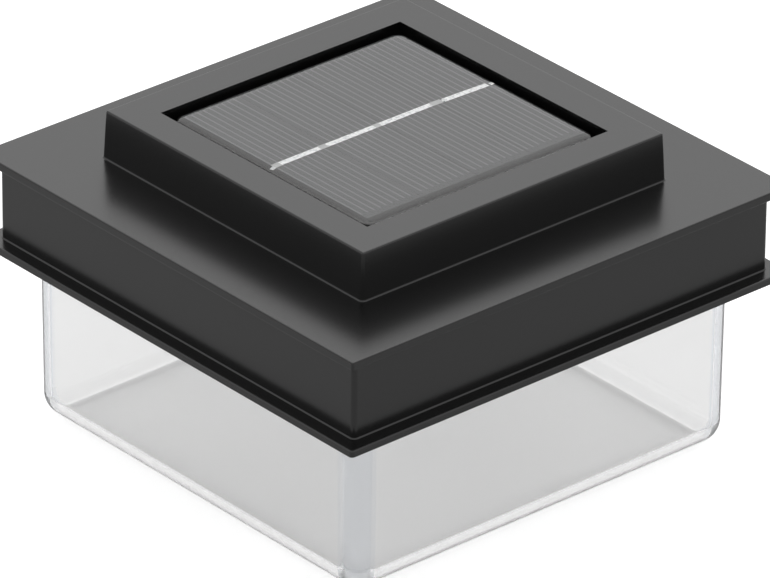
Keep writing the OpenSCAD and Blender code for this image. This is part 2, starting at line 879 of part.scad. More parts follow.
// Plate that meets the battery's button, with a pressed dimple
module contact_plate() {
    color([0.72, 0.72, 0.74]) {
        contact_sheet(bay_hi - contact_t);
        translate([battery_hi, battery_y, z_battery])
            rotate([0, 90, 0]) cylinder(r1 = button_r * 0.7, r2 = button_r, h = dimple_h + contact_t / 2);
    }
}

// Door under the battery, with two tongues that line it up and ribs that bear the battery
module battery_door() {
    tongue_y = bay_half - tongue_gap - tongue_t;
    color([0.1, 0.1, 0.11])
        difference() {
            translate([0, battery_y, 0]) {
                translate([0, 0, z_door - door_t])
                    linear_extrude(door_t) rounded(door_half_x, door_half_y, door_r);
                for (y = [-tongue_y - tongue_t, tongue_y])
                    translate([-tongue_len / 2, y, z_door - door_t / 2])
                        cube([tongue_len, tongue_t, tongue_h + door_t / 2]);
                for (x = [-battery_len / 4, battery_len / 4])
                    translate([x - rib_t / 2, -tongue_y, z_door - door_t / 2])
                        cube([rib_t, 2 * tongue_y, cradle_h + door_t / 2]);
            }
            for (x = [-door_screw_x, door_screw_x])
                translate([x, battery_y, z_door - door_t - past])
                    cylinder(r = door_screw_d / 2 + pass_gap, h = door_t + 2 * past);
        }
}

// Foam seal between the door and the base plate
module door_seal() {
    color([0.22, 0.22, 0.22])
        translate([0, battery_y, z_door])
            linear_extrude(door_seal_t)
                difference() {
                    rounded(seal_out_x, seal_out_y, door_r);
                    rounded(seal_out_x - seal_band, seal_out_y - seal_band, door_r / 2);
                }
}

// Two screws that hold the battery door
module door_screws() {
    color([0.6, 0.6, 0.62])
        for (x = [-door_screw_x, door_screw_x])
            translate([x, battery_y, z_door - door_t])
                pan_screw(door_screw_d / 2, door_head_r, door_head_h, z_seat - z_door + door_t + door_bite);
}

// Wires from the panel's back, down through the tub to the circuit board
module panel_wire(side, pad) {
    drop = [0, 0, -panel_wire_drop];
    wire([side * panel_lead_x, 0, z_back], drop, [pad[0], pad[1], board_top], drop);
}

// Positive wire of the panel
module panel_wire_red() {
    color([0.7, 0.1, 0.1]) panel_wire(1, panel_pads[0]);
}

// Negative wire of the panel
module panel_wire_black() {
    color([0.08, 0.08, 0.08]) panel_wire(-1, panel_pads[1]);
}

// Wires from the contact plates' tabs, over the bay to the circuit board
module battery_wire(x, pad) {
    over = [0, -battery_wire_over, 0];
    drop = [0, 0, -battery_wire_drop];
    wire([x, battery_y - tab_half, wire_z], over, [pad[0], pad[1], board_top], drop);
}

// Positive wire of the battery
module battery_wire_red() {
    color([0.7, 0.1, 0.1]) battery_wire(bay_hi - contact_t / 2, battery_pads[1]);
}

// Negative wire of the battery
module battery_wire_black() {
    color([0.08, 0.08, 0.08]) battery_wire(bay_lo + contact_t / 2, battery_pads[0]);
}

clear_cup();
top_cover();
base_plate();
cover_seal();
cover_screws();
panel_adhesive();
panel_board();
solar_cells();
busbar_ribbons();
panel_resin();
circuit_board();
board_screws();
driver_chip();
inductor();
led();
reflector();
switch_can();
switch_knob();
battery_can();
battery_sleeve();
battery_spring();
spring_plate();
contact_plate();
battery_door();
door_seal();
door_screws();
panel_wire_red();
panel_wire_black();
battery_wire_red();
battery_wire_black();
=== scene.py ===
import math
import bmesh
import bpy
from mathutils import Matrix, Vector


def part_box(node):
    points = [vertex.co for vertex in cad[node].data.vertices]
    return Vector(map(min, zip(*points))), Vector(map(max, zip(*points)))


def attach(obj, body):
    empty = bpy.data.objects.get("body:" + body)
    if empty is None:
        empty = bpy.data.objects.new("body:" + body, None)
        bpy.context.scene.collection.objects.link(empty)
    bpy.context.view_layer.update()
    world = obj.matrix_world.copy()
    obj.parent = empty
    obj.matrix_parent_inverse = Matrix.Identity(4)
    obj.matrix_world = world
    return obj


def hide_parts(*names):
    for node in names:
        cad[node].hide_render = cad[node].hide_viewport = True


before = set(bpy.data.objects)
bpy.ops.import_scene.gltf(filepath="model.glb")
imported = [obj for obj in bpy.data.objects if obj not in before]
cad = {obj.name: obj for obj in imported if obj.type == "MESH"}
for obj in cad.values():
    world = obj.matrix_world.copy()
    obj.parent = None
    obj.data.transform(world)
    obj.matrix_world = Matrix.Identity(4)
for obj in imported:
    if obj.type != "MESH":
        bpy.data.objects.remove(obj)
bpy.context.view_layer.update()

# Camera. A long lens stands nearly two metres off one corner of the light and looks down on
# the cap at about 28 degrees, so the upright edges stay almost parallel.
turn = math.radians(48.949)
tilt = math.radians(28.347)
roll = math.radians(0.5245)
deck_centre = Vector((0, 0, 0.0593))
aim_right = 0.000285
aim_up = -0.02426
distance = 1.8599
back = Vector((math.sin(turn) * math.cos(tilt), -math.cos(turn) * math.cos(tilt), math.sin(tilt)))
right = Vector((math.cos(turn), math.sin(turn), 0))
up = back.cross(right)
lens_right = math.cos(roll) * right + math.sin(roll) * up
lens_up = math.cos(roll) * up - math.sin(roll) * right
stand = deck_centre + aim_right * lens_right + aim_up * lens_up + distance * back
camera = bpy.data.objects.new("camera", bpy.data.cameras.new("camera"))
bpy.context.scene.collection.objects.link(camera)
camera.data.lens = 432.42
camera.data.sensor_width = 36
camera.data.clip_start = 0.1
camera.data.clip_end = 20
camera.matrix_world = Matrix.Translation(stand) @ Matrix((lens_right, lens_up, back)).transposed().to_4x4()
bpy.context.scene.camera = camera
bpy.context.scene.view_settings.view_transform = "Standard"

# Studio. The light stands on a sweep of matt white card in a white tent, which lights it evenly
# from all round, with a large soft lamp above and a wide lower one, both behind it. The card
# reads almost white through the clear cup, and a square of it beneath the light glows white in
# glossy reflections only, a painted glow.
glow_to_camera = 0.7
white_through_cup = 0.85
white_in_gloss = 0.8
card_white = 1.1
glow_patch_half_mm = 56.0
sweep_half = 5
sweep_drop = 0.0002
tent_fill = 0.7
clouding_mm = 20


def linear(colour):
    """An sRGB colour such as "#17171a" as linear red, green, blue and alpha."""
    parts = [int(colour[i:i + 2], 16) / 255 for i in (1, 3, 5)]
    return (*[p / 12.92 if p <= 0.04045 else ((p + 0.055) / 1.055) ** 2.4 for p in parts], 1)


def add_node(tree, kind, inputs=None, **settings):
    """Adds a node with its own settings, and fills its inputs with values, sockets or whole nodes."""
    made = tree.nodes.new(kind)
    for name, value in settings.items():
        setattr(made, name, value)
    for name, value in (inputs or {}).items():
        socket = next(s for s in made.inputs if name in (s.identifier, s.name))
        if isinstance(value, bpy.types.Node):
            value = next(s for s in value.outputs if s.enabled)
        if isinstance(value, bpy.types.NodeSocket):
            tree.links.new(value, socket)
        else:
            socket.default_value = value
    return made


def start_material(name):
    """A new empty material, its tree, and a node that gives Object coordinates in millimetres.

    A pattern's width is a length over the number of its grains in that length, and its Scale is
    1 / width.
    """
    material = bpy.data.materials.new(name)
    material.use_nodes = True
    tree = material.node_tree
    tree.nodes.clear()
    place = add_node(tree, "ShaderNodeTexCoord")
    mm = add_node(tree, "ShaderNodeMapping", {
        "Vector": place.outputs["Object"], "Scale": (1000, 1000, 1000)})
    return material, tree, mm


def off_axis(tree, mm, pick):
    """The larger or the smaller (MAXIMUM or MINIMUM) of a point's distances from X = 0 and Y = 0."""
    at = add_node(tree, "ShaderNodeSeparateXYZ", {"Vector": mm})
    off_x = add_node(tree, "ShaderNodeMath", {"Value": at.outputs["X"]}, operation="ABSOLUTE")
    off_y = add_node(tree, "ShaderNodeMath", {"Value": at.outputs["Y"]}, operation="ABSOLUTE")
    return add_node(tree, "ShaderNodeMath", {"Value": off_x, "Value_001": off_y}, operation=pick)


sweep_card, tree, mm = start_material("matt_white_card")
seen = add_node(tree, "ShaderNodeLightPath")
direct = add_node(tree, "ShaderNodeMath", {
    "Value": seen.outputs["Is Camera Ray"], "Value_001": glow_to_camera}, operation="MULTIPLY")
through = add_node(tree, "ShaderNodeMath", {
    "Value": seen.outputs["Is Transmission Ray"], "Value_001": white_through_cup}, operation="MULTIPLY")
clouding = add_node(tree, "ShaderNodeTexNoise", {"Vector": mm, "Scale": 1 / clouding_mm, "Detail": 3})
card_tone = add_node(tree, "ShaderNodeMix", {
    "Factor_Float": clouding, "A_Color": linear("#dcdcdc"), "B_Color": linear("#e2e2e2")}, data_type="RGBA")
card = add_node(tree, "ShaderNodeBsdfDiffuse", {"Color": card_tone})
glow = add_node(tree, "ShaderNodeEmission", {"Color": (1, 1, 1, 1), "Strength": direct})
card = add_node(tree, "ShaderNodeAddShader", {"Shader": card, "Shader_001": glow})
white = add_node(tree, "ShaderNodeEmission", {"Color": (1, 1, 1, 1), "Strength": card_white})
off_mid = off_axis(tree, mm, "MAXIMUM")
# Painted glow: inside this square the card glows white to glossy rays, so reflections round the cup's foot
# show white where the card lies in shade.
glow_patch = add_node(tree, "ShaderNodeMath", {
    "Value": off_mid, "Value_001": glow_patch_half_mm}, operation="LESS_THAN")
mirrored = add_node(tree, "ShaderNodeMath", {
    "Value": seen.outputs["Is Glossy Ray"], "Value_001": white_in_gloss}, operation="MULTIPLY")
mirrored = add_node(tree, "ShaderNodeMath", {"Value": mirrored, "Value_001": glow_patch}, operation="MULTIPLY")
whitened = add_node(tree, "ShaderNodeMath", {"Value": through, "Value_001": mirrored}, operation="MAXIMUM")
card = add_node(tree, "ShaderNodeMixShader", {"Fac": whitened, "Shader": card, "Shader_001": white})
add_node(tree, "ShaderNodeOutputMaterial", {"Surface": card})

shape = bmesh.new()
bmesh.ops.create_grid(shape, x_segments=8, y_segments=8, size=sweep_half)
bmesh.ops.translate(shape, vec=(0, 0, -sweep_drop), verts=shape.verts)
sweep = bpy.data.objects.new("floor", bpy.data.meshes.new("floor"))
shape.to_mesh(sweep.data)
shape.free()
sweep.data.materials.append(sweep_card)
bpy.context.scene.collection.objects.link(sweep)

world = bpy.data.worlds.new("white_tent")
bpy.context.scene.world = world
world.use_nodes = True
tree = world.node_tree
tree.nodes.clear()
seen = add_node(tree, "ShaderNodeLightPath")
direct = add_node(tree, "ShaderNodeMath", {
    "Value": seen.outputs["Is Camera Ray"], "Value_001": seen.outputs["Is Glossy Ray"]}, operation="MAXIMUM")
direct = add_node(tree, "ShaderNodeMath", {
    "Value": direct, "Value_001": seen.outputs["Is Transmission Ray"]}, operation="MAXIMUM")
level = add_node(tree, "ShaderNodeMapRange", {"Value": direct, "To Min": tent_fill, "To Max": 1.0})
tent = add_node(tree, "ShaderNodeBackground", {"Color": (1, 1, 1, 1), "Strength": level.outputs["Result"]})
add_node(tree, "ShaderNodeOutputWorld", {"Surface": tent})

for name, place, width, height, energy in (
        ("top_lamp", Vector((-0.5, 0.6, 1.8)), 1.6, 1.6, 9),
        ("back_lamp", Vector((-1.2, 1.05, 0.9)), 2.2, 0.9, 2.8)):
    lamp = bpy.data.objects.new(name, bpy.data.lights.new(name, "AREA"))
    lamp.data.shape = "RECTANGLE"
    lamp.data.size = width
    lamp.data.size_y = height
    lamp.data.energy = energy
    lamp.matrix_world = Matrix.Translation(place) @ place.to_track_quat("Z", "Y").to_matrix().to_4x4()
    bpy.context.scene.collection.objects.link(lamp)


# Cup. A thick clear beaker, injection moulded in acrylic, with a little draft and with ball
# corners at its foot. It is polished but for these corners and its satin floor, whose underside
# is tinted greyer near the rim as painted shade.
def box_mm(node):
    """A CAD node's lowest and highest corners at rest, in millimetres."""
    low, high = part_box(node)
    return Vector(low) * 1000, Vector(high) * 1000


def add_piece(name, shape, material, body, replaced=(), smooth=True):
    """Turns a bmesh in millimetres into a piece that rides on a body and may stand for CAD nodes."""
    bmesh.ops.scale(shape, vec=(0.001, 0.001, 0.001), verts=shape.verts)
    mesh = bpy.data.meshes.new(name)
    shape.to_mesh(mesh)
    shape.free()
    mesh.materials.append(material)
    if smooth:
        mesh.shade_smooth()
    else:
        mesh.shade_flat()
    piece = bpy.data.objects.new(name, mesh)
    bpy.context.scene.collection.objects.link(piece)
    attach(piece, body)
    if replaced:
        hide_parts(*replaced)
    return piece


def round_edges(shape, edges, radius, segments):
    """Rounds edges of a bmesh to a radius in millimetres."""
    bmesh.ops.bevel(shape, geom=edges, offset=radius, offset_type="OFFSET", affect="EDGES",
                    segments=segments, profile=0.5, material=-1)


def even_shading(piece):
    """Keeps the shading of a piece's flat faces flat right up to its rounded edges."""
    even = piece.modifiers.new("even_shading", "WEIGHTED_NORMAL")
    even.keep_sharp = False


cup_draft = 0.5
cup_wall = 2
corner_r = 5.2
rim_round = 0.3
face_skin = 0.1
rim_shade_band = 8
rim_shade_power = 3
flow_w = 100 / 3
low, high = box_mm("clear_cup")
cup_mouth = high.x - low.x
cup_foot = cup_mouth - cup_draft
cup_rise = high.z
flat_half = cup_foot / 2 - corner_r

acrylic, tree, mm = start_material("clear_acrylic_with_satin_floor")
flow = add_node(tree, "ShaderNodeTexNoise", {"Vector": mm, "Scale": 1 / flow_w, "Detail": 1})
tint = add_node(tree, "ShaderNodeMix", {
    "Factor_Float": flow, "A_Color": linear("#fbfbfb"), "B_Color": linear("#ffffff")}, data_type="RGBA")
at = add_node(tree, "ShaderNodeSeparateXYZ", {"Vector": mm})
off_mid = off_axis(tree, mm, "MAXIMUM")
off_low = off_axis(tree, mm, "MINIMUM")
on_flat = add_node(tree, "ShaderNodeMath", {
    "Value": off_mid, "Value_001": flat_half}, operation="LESS_THAN")
at_corner = add_node(tree, "ShaderNodeMath", {
    "Value": off_low, "Value_001": flat_half}, operation="GREATER_THAN")
tint = add_node(tree, "ShaderNodeMix", {
    "Factor_Float": at_corner, "A_Color": tint, "B_Color": linear("#f3f5f8")}, data_type="RGBA")
# Painted shade: the floor's underside is tinted grey towards the rim. This stands for shade there, not for a
# grey in the acrylic.
near_rim = add_node(tree, "ShaderNodeMapRange", {
    "Value": off_mid, "From Min": flat_half - rim_shade_band, "From Max": flat_half})
near_rim = add_node(tree, "ShaderNodeMath", {
    "Value": near_rim.outputs["Result"], "Value_001": rim_shade_power}, operation="POWER")
underside = add_node(tree, "ShaderNodeMath", {
    "Value": at.outputs["Z"], "Value_001": face_skin}, operation="LESS_THAN")
painted_rim_shade = add_node(tree, "ShaderNodeMath", {"Value": near_rim, "Value_001": underside}, operation="MULTIPLY")
tint = add_node(tree, "ShaderNodeMix", {
    "Factor_Float": painted_rim_shade, "A_Color": tint, "B_Color": linear("#b0b0b0")}, data_type="RGBA")
low_down = add_node(tree, "ShaderNodeMath", {
    "Value": at.outputs["Z"], "Value_001": cup_wall + face_skin}, operation="LESS_THAN")
satin_part = add_node(tree, "ShaderNodeMath", {
    "Value": on_flat, "Value_001": low_down}, operation="MULTIPLY")
in_foot = add_node(tree, "ShaderNodeMath", {
    "Value": at.outputs["Z"], "Value_001": corner_r}, operation="LESS_THAN")
in_ball = add_node(tree, "ShaderNodeMath", {"Value": at_corner, "Value_001": in_foot}, operation="MULTIPLY")
satin_part = add_node(tree, "ShaderNodeMath", {
    "Value": satin_part, "Value_001": in_ball}, operation="MAXIMUM")
satin = add_node(tree, "ShaderNodeMapRange", {"Value": satin_part, "To Min": 0.0, "To Max": 0.4})
facing = add_node(tree, "ShaderNodeLayerWeight", {"Blend": 0.5})
sheen = add_node(tree, "ShaderNodeMapRange", {
    "Value": facing.outputs["Facing"], "From Min": 0.6, "From Max": 0.95, "To Min": 0.01, "To Max": 0.45})
polish = add_node(tree, "ShaderNodeMath", {
    "Value": sheen.outputs["Result"], "Value_001": satin.outputs["Result"]}, operation="MAXIMUM")
wave = add_node(tree, "ShaderNodeBump", {"Height": flow, "Strength": 0.15, "Distance": 0.0004})
clear = add_node(tree, "ShaderNodeBsdfPrincipled", {
    "Base Color": tint, "Roughness": polish, "Transmission Weight": 0.94, "IOR": 1.49, "Normal": wave})
add_node(tree, "ShaderNodeOutputMaterial", {"Surface": clear})

shape = bmesh.new()
bmesh.ops.create_cube(shape, size=1)
bmesh.ops.scale(shape, vec=(cup_foot, cup_foot, cup_rise), verts=shape.verts)
bmesh.ops.translate(shape, vec=(0, 0, cup_rise / 2), verts=shape.verts)
rim = [v for v in shape.verts if v.co.z > cup_rise / 2]
bmesh.ops.scale(shape, vec=(cup_mouth / cup_foot, cup_mouth / cup_foot, 1), verts=rim)
bmesh.ops.delete(shape, geom=[f for f in shape.faces if f.normal.z > 0.9], context="FACES_ONLY")
sides_and_foot = [e for e in shape.edges if min(v.co.z for v in e.verts) < cup_rise / 2]
round_edges(shape, sides_and_foot, corner_r, segments=20)
cup = add_piece("moulded_cup", shape, acrylic, "cup", ["clear_cup"])
wall = cup.modifiers.new("wall", "SOLIDIFY")
wall.thickness = cup_wall / 1000
wall.offset = -1
wall.use_even_offset = True
rim_edge = cup.modifiers.new("rim_edge", "BEVEL")
rim_edge.limit_method = "ANGLE"
rim_edge.angle_limit = math.radians(60)
rim_edge.width = rim_round / 1000
rim_edge.segments = 2
even_shading(cup)


# Base plate. One moulding in black ABS: the flange under the cap's walls, the collar that plugs
# into the cup, and the bay and posts on top. A fine spark texture, drawn coarser than the real
# one so that it shows, gives it a satin skin.
def dress(name, material):
    """Gives a CAD node its material, in place of the plain ones that it came with."""
    cad[name].data.materials.clear()
    cad[name].data.materials.append(material)


grain_w = 10 / 22
cloud_w = 25
satin_abs, tree, mm = start_material("satin_black_abs")
grain = add_node(tree, "ShaderNodeTexNoise", {"Vector": mm, "Scale": 1 / grain_w, "Detail": 2})
cloud = add_node(tree, "ShaderNodeTexNoise", {"Vector": mm, "Scale": 1 / cloud_w, "Detail": 2})
tone = add_node(tree, "ShaderNodeMix", {
    "Factor_Float": cloud, "A_Color": linear("#090909"), "B_Color": linear("#0c0c0c")}, data_type="RGBA")
satin = add_node(tree, "ShaderNodeMapRange", {"Value": grain, "To Min": 0.2, "To Max": 0.27})
skin = add_node(tree, "ShaderNodeBump", {"Height": grain, "Strength": 0.08, "Distance": 0.00003})
abs_shader = add_node(tree, "ShaderNodeBsdfPrincipled", {
    "Base Color": tone, "Roughness": satin.outputs["Result"], "IOR": 1.54, "Normal": skin})
add_node(tree, "ShaderNodeOutputMaterial", {"Surface": abs_shader})
dress("base_plate", satin_abs)

# Screws. Small zinc plated steel screws with pan heads and cross recesses: four join the cover to
# the base plate, two hold the board and two the door. The passivated zinc is faintly blue.
spangle_w = 10 / 12
zinc, tree, mm = start_material("blue_passivated_zinc")
spangle = add_node(tree, "ShaderNodeTexNoise", {"Vector": mm, "Scale": 1 / spangle_w, "Detail": 4})
tone = add_node(tree, "ShaderNodeMix", {
    "Factor_Float": spangle, "A_Color": linear("#b4b9bf"), "B_Color": linear("#cdd0d2")}, data_type="RGBA")
worn = add_node(tree, "ShaderNodeMapRange", {"Value": spangle, "To Min": 0.22, "To Max": 0.42})
dents = add_node(tree, "ShaderNodeBump", {"Height": spangle, "Strength": 0.1, "Distance": 0.00005})
zinc_shader = add_node(tree, "ShaderNodeBsdfPrincipled", {
    "Base Color": tone, "Metallic": 1.0, "Roughness": worn.outputs["Result"], "Normal": dents})
add_node(tree, "ShaderNodeOutputMaterial", {"Surface": zinc_shader})
for name in ("cover_screws", "board_screws", "door_screws"):
    dress(name, zinc)

# Circuit board. Glass-fibre board under green lacquer, screwed to two posts of the base plate.
# Copper tracks show through the lacquer as lighter bands.
track_w = 0.35
track_run = 7
track_row = 3.2
speck_w = 1 / 4
lacquer, tree, mm = start_material("green_lacquered_board")
tracks = add_node(tree, "ShaderNodeTexBrick", {
    "Vector": mm, "Color1": (0, 0, 0, 1), "Color2": (0, 0, 0, 1), "Mortar": (1, 1, 1, 1), "Scale": 1,
    "Mortar Size": track_w, "Mortar Smooth": 0.2, "Brick Width": track_run, "Row Height": track_row})
speck = add_node(tree, "ShaderNodeTexNoise", {"Vector": mm, "Scale": 1 / speck_w, "Detail": 2})
mask_tone = add_node(tree, "ShaderNodeMix", {
    "Factor_Float": speck, "A_Color": linear("#0f4a26"), "B_Color": linear("#145530")}, data_type="RGBA")
tone = add_node(tree, "ShaderNodeMix", {
    "Factor_Float": tracks.outputs["Color"], "A_Color": mask_tone, "B_Color": linear("#2c7a45")},
    data_type="RGBA")
proud = add_node(tree, "ShaderNodeBump", {
    "Height": tracks.outputs["Color"], "Strength": 0.5, "Distance": 0.00004})
board_finish = add_node(tree, "ShaderNodeBsdfPrincipled", {
    "Base Color": tone, "Roughness": 0.28, "Normal": proud})
add_node(tree, "ShaderNodeOutputMaterial", {"Surface": board_finish})
dress("circuit_board", lacquer)

# Driver chip. A black epoxy body moulded on four tinned legs, which are soldered to the board.
# The epoxy is matt, with the grit of its filler drawn coarser than it is, and the material turns
# from tin to epoxy just below the body.
leg_rise = 1.9
grit_w = 1 / 6
body_low = box_mm("driver_chip")[0].z + leg_rise
epoxy, tree, mm = start_material("black_epoxy_on_tinned_legs")
at = add_node(tree, "ShaderNodeSeparateXYZ", {"Vector": mm})
body_part = add_node(tree, "ShaderNodeMath", {
    "Value": at.outputs["Z"], "Value_001": body_low}, operation="GREATER_THAN")
grit = add_node(tree, "ShaderNodeTexNoise", {"Vector": mm, "Scale": 1 / grit_w, "Detail": 3})
black = add_node(tree, "ShaderNodeMix", {
    "Factor_Float": grit, "A_Color": linear("#1c1c1d"), "B_Color": linear("#242425")}, data_type="RGBA")
tone = add_node(tree, "ShaderNodeMix", {
    "Factor_Float": body_part, "A_Color": linear("#c9cacb"), "B_Color": black}, data_type="RGBA")
metal = add_node(tree, "ShaderNodeMath", {"Value": 1.0, "Value_001": body_part}, operation="SUBTRACT")
matt = add_node(tree, "ShaderNodeMapRange", {"Value": body_part, "To Min": 0.3, "To Max": 0.55})
pits = add_node(tree, "ShaderNodeBump", {"Height": grit, "Strength": 0.3, "Distance": 0.00003})
epoxy_shader = add_node(tree, "ShaderNodeBsdfPrincipled", {
    "Base Color": tone, "Metallic": metal, "Roughness": matt.outputs["Result"], "Normal": pits})
add_node(tree, "ShaderNodeOutputMaterial", {"Surface": epoxy_shader})
dress("driver_chip", epoxy)

# Coil. A small axial choke dipped in green lacquer, with its two tinned leads bent to the board.
# The lacquer is glossy, with soft runs, and stops at the ends of the body.
coil_half = 3.75
run_w = 10 / 15
low, high = box_mm("inductor")
coil_x = (low.x + high.x) / 2
dipped, tree, mm = start_material("dipped_lacquer_on_tinned_leads")
at = add_node(tree, "ShaderNodeSeparateXYZ", {"Vector": mm})
from_mid = add_node(tree, "ShaderNodeMath", {
    "Value": at.outputs["X"], "Value_001": coil_x}, operation="SUBTRACT")
from_mid = add_node(tree, "ShaderNodeMath", {"Value": from_mid}, operation="ABSOLUTE")
on_lead = add_node(tree, "ShaderNodeMath", {
    "Value": from_mid, "Value_001": coil_half}, operation="GREATER_THAN")
runs = add_node(tree, "ShaderNodeTexNoise", {"Vector": mm, "Scale": 1 / run_w, "Detail": 3})
green = add_node(tree, "ShaderNodeMix", {
    "Factor_Float": runs, "A_Color": linear("#2f6b45"), "B_Color": linear("#3b7a52")}, data_type="RGBA")
tone = add_node(tree, "ShaderNodeMix", {
    "Factor_Float": on_lead, "A_Color": green, "B_Color": linear("#c9cacb")}, data_type="RGBA")
drip = add_node(tree, "ShaderNodeBump", {"Height": runs, "Strength": 0.3, "Distance": 0.0002})
dip_shader = add_node(tree, "ShaderNodeBsdfPrincipled", {
    "Base Color": tone, "Metallic": on_lead, "Roughness": 0.25, "Normal": drip})
add_node(tree, "ShaderNodeOutputMaterial", {"Surface": dip_shader})
dress("inductor", dipped)


# Lamp. A clear 5 mm epoxy lens cast round a tinned lead frame, whose cup holds the die under
# yellow phosphor, with its grains drawn coarse to show. It points down into the cup and hangs
# from the board by its two leads.
def spin_profile(profile, steps=48):
    """A bmesh turned about the upright axis from a profile of (radius, height) points in millimetres."""
    shape = bmesh.new()
    points = [shape.verts.new((r, 0, z)) for r, z in profile]
    edges = [shape.edges.new(pair) for pair in zip(points, points[1:])]
    bmesh.ops.spin(shape, geom=points + edges, cent=(0, 0, 0), axis=(0, 0, 1), dvec=(0, 0, 0),
                   angle=2 * math.pi, steps=steps, use_merge=True)
    bmesh.ops.remove_doubles(shape, verts=shape.verts, dist=0.0001)
    bmesh.ops.recalc_face_normals(shape, faces=shape.faces)
    return shape


def add_block(shape, size, middle):
    """Adds a box with these three sizes and this middle."""
    made = bmesh.ops.create_cube(shape, size=1)["verts"]
    bmesh.ops.scale(shape, vec=size, verts=made)
    bmesh.ops.translate(shape, vec=middle, verts=made)


def add_cone(shape, low_r, high_r, height, middle, segments):
    """Adds an upright cone or cylinder with these two radii, this height and this middle."""
    made = bmesh.ops.create_cone(
        shape, cap_ends=True, segments=segments, radius1=low_r, radius2=high_r, depth=height)["verts"]
    bmesh.ops.translate(shape, vec=middle, verts=made)


def soften(piece, width):
    """Rounds a piece's sharp edges by a width in millimetres."""
    edge = piece.modifiers.new("soft_edges", "BEVEL")
    edge.limit_method = "ANGLE"
    edge.angle_limit = math.radians(30)
    edge.width = width / 1000
    edge.segments = 2
    even_shading(piece)


lamp_r = 2.5
lamp_rim_r = 2.9
lamp_rim_h = 1.0
lamp_len = 8.6
lead_x = 1.27
lead_w = 0.5
anvil_drop = 4.5
anvil_h = 1.9
anvil_r = 1.0
anvil_neck_r = 0.6
post_foot = 0.4
bridge_h = 0.9
haze_w = 2.5
plating_w = 1 / 3
phosphor_w = 1 / 9
low, high = box_mm("led")
lamp_top = low.z + lamp_len
lead_top = high.z
dome_z = low.z + lamp_r
anvil_z = lamp_top - anvil_drop
bridge_z = anvil_z + anvil_h

lens_resin, tree, mm = start_material("clear_lamp_epoxy")
haze = add_node(tree, "ShaderNodeTexNoise", {"Vector": mm, "Scale": 1 / haze_w, "Detail": 2})
tone = add_node(tree, "ShaderNodeMix", {
    "Factor_Float": haze, "A_Color": linear("#f6f6f2"), "B_Color": linear("#fcfcfa")}, data_type="RGBA")
lens_polish = add_node(tree, "ShaderNodeMapRange", {"Value": haze, "To Min": 0.01, "To Max": 0.05})
lens_shader = add_node(tree, "ShaderNodeBsdfPrincipled", {
    "Base Color": tone, "Roughness": lens_polish.outputs["Result"], "Transmission Weight": 1.0, "IOR": 1.53})
add_node(tree, "ShaderNodeOutputMaterial", {"Surface": lens_shader})
rim_low = lamp_top - lamp_rim_h
profile = [(0, lamp_top), (lamp_rim_r, lamp_top), (lamp_rim_r, rim_low), (lamp_r, rim_low)]
for angle in range(0, 91, 9):
    around = math.radians(angle)
    profile.append((lamp_r * math.cos(around), dome_z - lamp_r * math.sin(around)))
lens = add_piece("lamp_lens", spin_profile(profile), lens_resin, "cap", ["led"])
soften(lens, 0.1)

tinned_frame, tree, mm = start_material("tinned_lead_frame")
plating = add_node(tree, "ShaderNodeTexNoise", {"Vector": mm, "Scale": 1 / plating_w, "Detail": 3})
tone = add_node(tree, "ShaderNodeMix", {
    "Factor_Float": plating, "A_Color": linear("#c4c5c6"), "B_Color": linear("#d8d8d8")}, data_type="RGBA")
frosted = add_node(tree, "ShaderNodeMapRange", {"Value": plating, "To Min": 0.25, "To Max": 0.4})
frame_shader = add_node(tree, "ShaderNodeBsdfPrincipled", {
    "Base Color": tone, "Metallic": 1.0, "Roughness": frosted.outputs["Result"]})
add_node(tree, "ShaderNodeOutputMaterial", {"Surface": frame_shader})
shape = bmesh.new()
for x, foot in ((-lead_x, bridge_z), (lead_x, anvil_z + post_foot)):
    add_block(shape, (lead_w, lead_w, lead_top - foot), (x, 0, (lead_top + foot) / 2))
add_block(shape, (lead_x + 2 * lead_w, lead_w, bridge_h), (-lead_x / 2, 0, bridge_z))
add_cone(shape, anvil_r, anvil_neck_r, anvil_h, (0, 0, anvil_z + anvil_h / 2), segments=24)
add_piece("lamp_lead_frame", shape, tinned_frame, "cap", ["led"], smooth=False)

phosphor, tree, mm = start_material("yellow_phosphor_gel")
grains = add_node(tree, "ShaderNodeTexNoise", {"Vector": mm, "Scale": 1 / phosphor_w, "Detail": 3})
tone = add_node(tree, "ShaderNodeMix", {
    "Factor_Float": grains, "A_Color": linear("#e0b52c"), "B_Color": linear("#efc944")}, data_type="RGBA")
gel_bump = add_node(tree, "ShaderNodeBump", {"Height": grains, "Strength": 0.2, "Distance": 0.00003})
gel_shader = add_node(tree, "ShaderNodeBsdfPrincipled", {
    "Base Color": tone, "Roughness": 0.4, "Normal": gel_bump})
add_node(tree, "ShaderNodeOutputMaterial", {"Surface": gel_shader})
gel_r = 0.8
gel_h = 0.35
gel_sink = 0.05
drop = [(0, anvil_z + gel_sink), (gel_r, anvil_z + gel_sink)]
for angle in range(0, 91, 15):
    around = math.radians(angle)
    drop.append((gel_r * math.cos(around), anvil_z - gel_h * math.sin(around)))
add_piece("lamp_phosphor", spin_profile(drop, steps=24), phosphor, "cap", ["led"])

